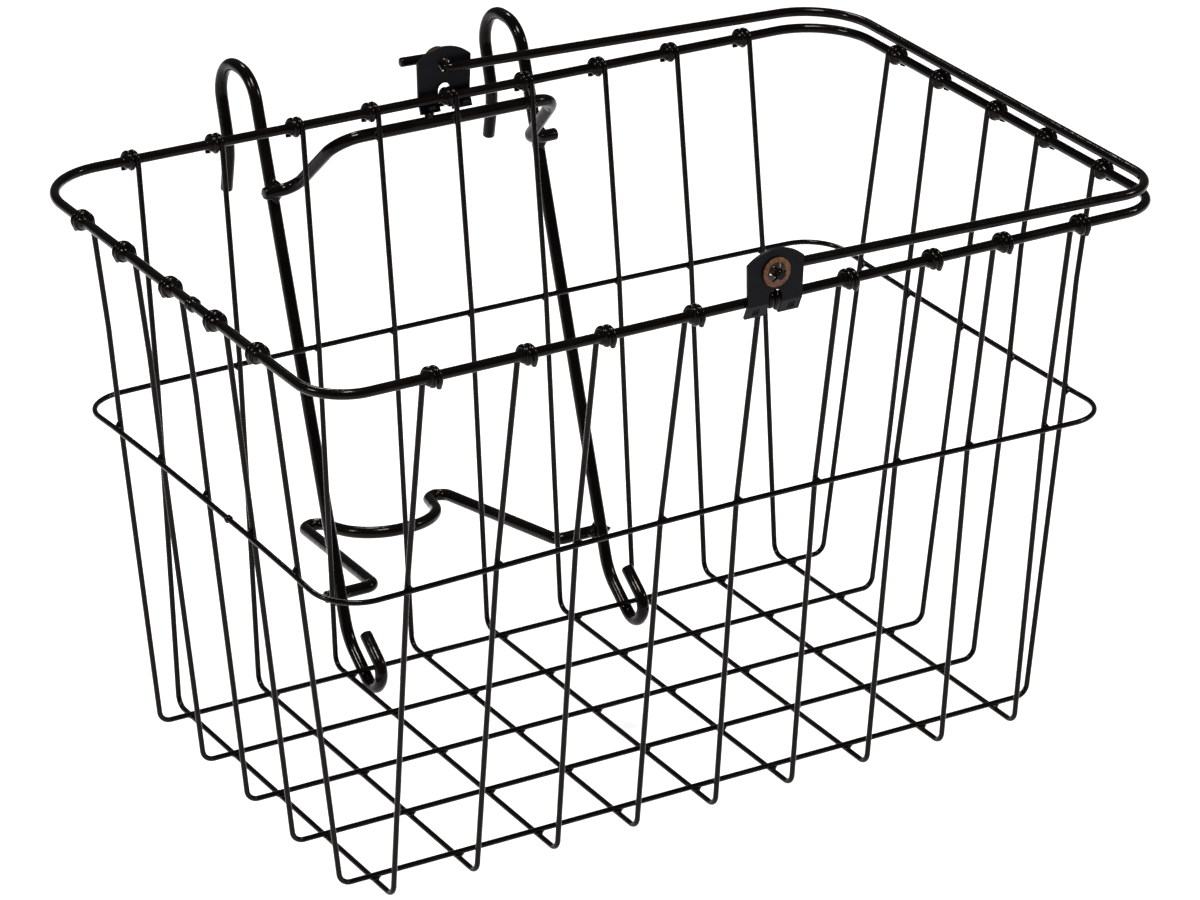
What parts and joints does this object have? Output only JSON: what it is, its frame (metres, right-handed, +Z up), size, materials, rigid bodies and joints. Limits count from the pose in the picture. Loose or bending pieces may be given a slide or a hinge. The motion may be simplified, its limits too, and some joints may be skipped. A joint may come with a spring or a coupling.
{
  "type": "handlebar basket",
  "caption": "Welded wire basket that hangs on a bicycle handlebar by wire hooks, with a rest for the head tube and a bail handle that folds over the top.",
  "frame": {"origin": "on the axis of the handlebar that the two hooks fit, midway between them", "axes": "+X along the basket's length, to the rider's left as worn; +Y towards the rider; +Z up"},
  "size_m": [0.3732, 0.3224, 0.2493],
  "materials": {
    "gloss_black": "gloss black dip coat on steel wire",
    "satin_black": "satin black on sheet steel",
    "copper": "copper-brown plated spring steel"
  },
  "bodies": {
    "basket": {"rim": "gloss_black", "mid_hoop": "gloss_black", "cross_wire_1": "gloss_black", "cross_wire_2": "gloss_black", "cross_wire_3": "gloss_black", "cross_wire_4": "gloss_black", "cross_wire_5": "gloss_black", "cross_wire_6": "gloss_black", "cross_wire_7": "gloss_black", "cross_wire_8": "gloss_black", "cross_wire_9": "gloss_black", "long_wire_1": "gloss_black", "long_wire_2": "gloss_black", "long_wire_3": "gloss_black", "long_wire_4": "gloss_black", "long_wire_5": "gloss_black", "hanger_leg_left": "gloss_black", "hanger_leg_right": "gloss_black", "upper_crossbar": "gloss_black", "head_tube_rest": "gloss_black", "bail_bracket_front": "satin_black", "bail_bracket_rear": "satin_black"},
    "bail": {"bail_handle": "gloss_black", "push_nut_front": "copper", "push_nut_rear": "copper"}
  },
  "joints": [
    {"name": "bail_fold", "type": "hinge", "parent": "basket", "child": "bail", "pos_m": [0.00155, -0.17924, 0.0238], "axis": [0.0146, -0.9999, -0.005], "range_deg": [0, 183.6]}
  ]
}
